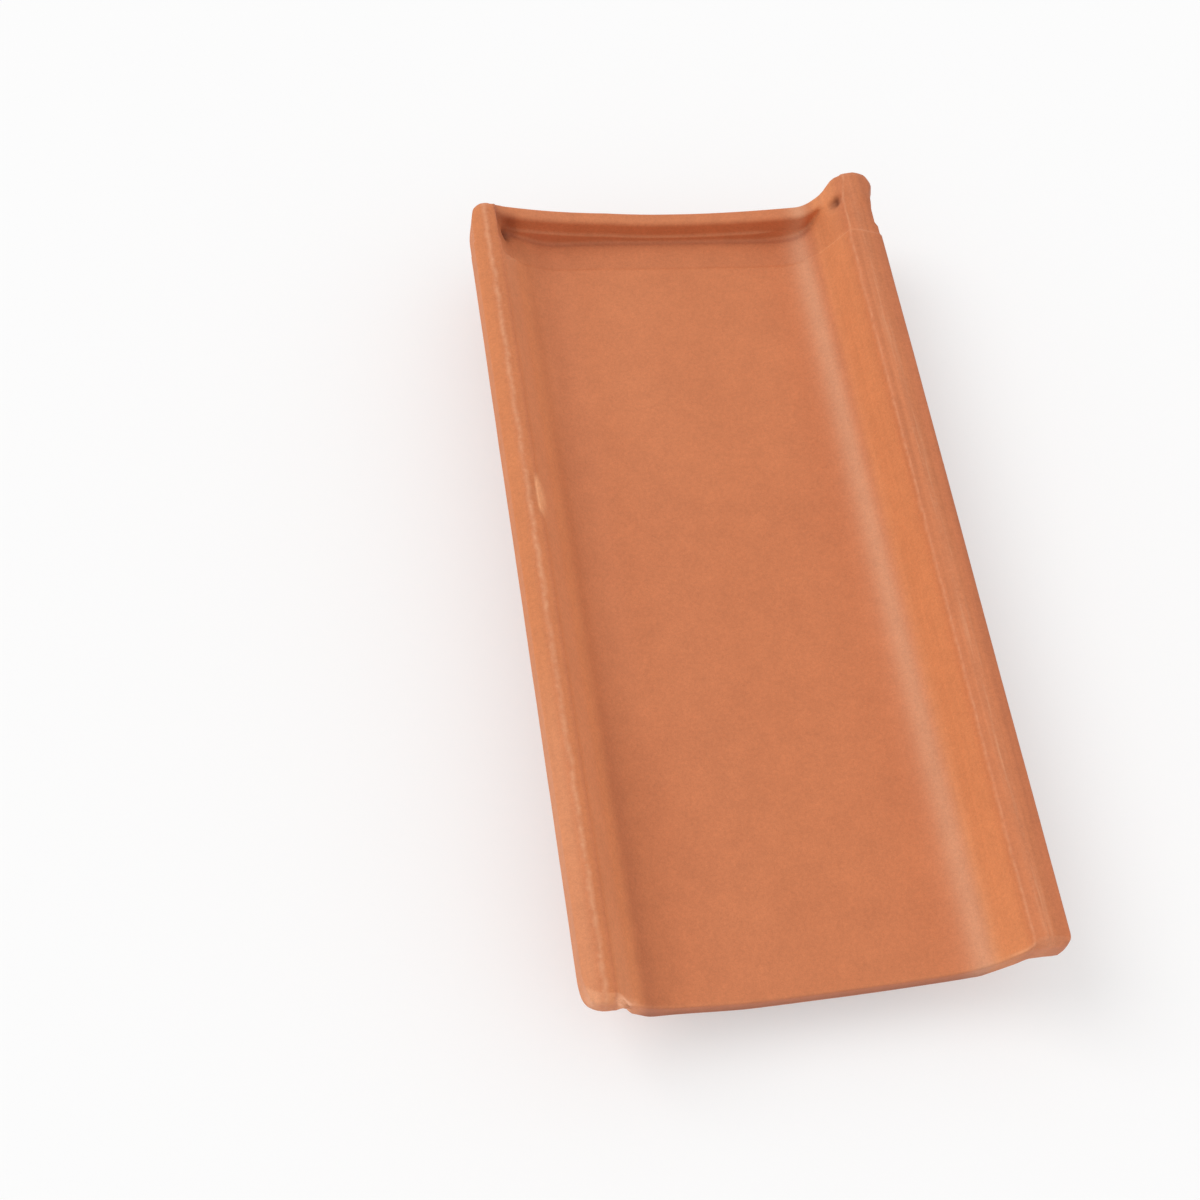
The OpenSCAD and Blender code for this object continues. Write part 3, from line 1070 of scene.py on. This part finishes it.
# Surface of the tile, whose section is kept as distance fields of the top and of the underside
beyond = 12.0
left_half, under_half = half_section(0)
right_half, under_half = half_section(1)
left_field = Field(np.concatenate([left_half, [(HALF_W, -beyond), (0, -beyond)]]))
right_field = Field(np.concatenate([right_half, [(HALF_W, -beyond), (0, -beyond)]]))
under_field = Field(np.concatenate([under_half, [(HALF_W, CREST_Z + beyond), (0, CREST_Z + beyond)]]))
points, faces = tile_mesh(left_half, right_half, under_half)
points = settle(points)
points = even_out(points, faces, np.all((points > EVEN_LOW) & (points < EVEN_HIGH), axis=1))
points = settle(points, 3)
normals = surface_normals(points)

# Relief, sunk into the surface
x, y, z = points.T
facing_up = normals[:, 2]
upper = smooth(*UPPER_FACING, facing_up) * (z > UPPER_LOW)
above = smooth(*ABOVE_HEIGHTS, z) * smooth(*ABOVE_FACING, facing_up)
crests = (bump(x, LEFT_CREST, CREST_WIDTH) + RIGHT_WEAR * bump(x, RIGHT_CREST, CREST_WIDTH)) * upper
chip = spot(points, CHIP, CHIP_SIZE)
pits = sum(spot(points, pit, PIT_SIZE) for pit in PITS)
sink = SWELLS[0] * cloud(points, SWELLS[1], 1) + LUMPS[0] * cloud(points, LUMPS[1], 2)
sink += crests * CREST_WEAR[0] * cloud(points, CREST_WEAR[1], 3) + CHIP_DEPTH * chip + PIT_DEPTH * pits
points = points - normals * sink[:, None]

# Tone of the clay across the tile, with painted light and shade: walls, facets, edges and end faces lighter
# or darker as the light falls on them, a painted sheen, and painted shade in hollows and pits
tones_and_light = tones_and_light_along(x, y) + tones_and_light_at_head(x, y, z, normals) + tones_and_light_at_foot(x, y, z, normals)
tones_and_light.append((spot(points, CHIP_SHADE, CHIP_SHADE_SIZE), (0.80, 0.75, 0.72)))
tones_and_light.append((np.minimum(PIT_SHADE * pits, 1), (0.35, 0.28, 0.26)))
tone_and_light = np.ones((len(points), 3))
for share, factors in tones_and_light:
    tone_and_light *= 1 + (share * above)[:, None] * (np.array(factors) - 1)
tone_and_light += smooth(*CHIP_EDGE, chip)[:, None] * (CHIP_TONE - tone_and_light)
streaky = upper * sum(share * smooth(*zone, x) for share, zone in STREAKS)

mesh = new_mesh("tile", points * MM, faces)
add_field(mesh, "streaky", streaky)
add_field(mesh, "wear_and_highlight", np.minimum(crests, 1))
add_field(mesh, "upper", upper)
add_colours(mesh, "tone_and_light", tone_and_light)
mesh.materials.append(Clay("clay").finish())
tile = add_object("tile", mesh)
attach(tile, "root")
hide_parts("roof_tile")

floor = add_floor()
add_light()
add_camera()
bpy.context.scene.view_settings.view_transform = "Standard"
